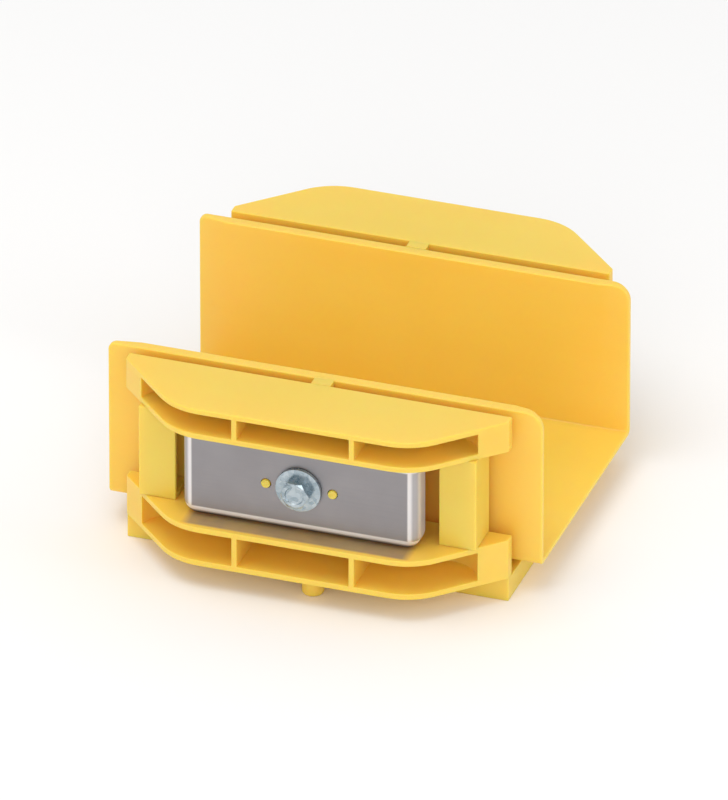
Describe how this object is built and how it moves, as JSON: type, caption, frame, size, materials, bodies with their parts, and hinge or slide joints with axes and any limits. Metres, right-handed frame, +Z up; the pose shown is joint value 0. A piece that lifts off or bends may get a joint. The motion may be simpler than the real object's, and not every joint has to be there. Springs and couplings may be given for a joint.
{
  "type": "cable raceway coupler",
  "caption": "U-shaped raceway coupler that joins two cable trough ends, clamped by bolted steel plates on both sides.",
  "frame": {"origin": "centre of the footprint, on the plane the coupler rests on", "axes": "+X along the raceway run, +Y from the front clamp to the rear clamp, +Z up out of the open trough"},
  "size_m": [0.244, 0.2568, 0.1098],
  "materials": {
    "yellow_plastic": "satin",
    "plate_steel": "satin",
    "bolt_zinc": "bright zinc",
    "ring_steel": "satin",
    "insert_brass": "satin"
  },
  "bodies": {
    "coupler_body": {"centre_stop_web": "yellow_plastic", "front_bolt_tower": "yellow_plastic", "front_bottom_rail": "yellow_plastic", "front_left_post": "yellow_plastic", "front_right_post": "yellow_plastic", "front_threaded_insert": "insert_brass", "front_top_rail": "yellow_plastic", "inner_liner": "yellow_plastic", "outer_tray": "yellow_plastic", "rear_bolt_tower": "yellow_plastic", "rear_bottom_rail": "yellow_plastic", "rear_left_post": "yellow_plastic", "rear_right_post": "yellow_plastic", "rear_threaded_insert": "insert_brass", "rear_top_rail": "yellow_plastic"},
    "front_clamp": {"front_clamp_plate": "plate_steel"},
    "front_bolt": {"front_clamp_bolt": "bolt_zinc", "front_washer": "bolt_zinc", "front_retaining_ring": "ring_steel"},
    "rear_clamp": {"rear_clamp_plate": "plate_steel"},
    "rear_bolt": {"rear_clamp_bolt": "bolt_zinc", "rear_washer": "bolt_zinc", "rear_retaining_ring": "ring_steel"}
  },
  "joints": [
    {"name": "front_clamp_slide", "type": "slide", "parent": "coupler_body", "child": "front_clamp", "axis": [0, 1, 0], "range_m": [0, 0.0055]},
    {"name": "front_bolt_turn", "type": "hinge", "parent": "front_clamp", "child": "front_bolt", "pos_m": [0, -0.1173, 0.0651], "axis": [0, 1, 0], "range_deg": [0, 1249]},
    {"name": "rear_clamp_slide", "type": "slide", "parent": "coupler_body", "child": "rear_clamp", "axis": [0, -1, 0], "range_m": [0, 0.0055]},
    {"name": "rear_bolt_turn", "type": "hinge", "parent": "rear_clamp", "child": "rear_bolt", "pos_m": [0, 0.1173, 0.0651], "axis": [0, -1, 0], "range_deg": [0, 1249]}
  ],
  "couplings": [
    {"joint": "front_bolt_turn", "follows": "front_clamp_slide", "rad_per_m": 3957.9},
    {"joint": "rear_bolt_turn", "follows": "rear_clamp_slide", "rad_per_m": 3957.9}
  ]
}
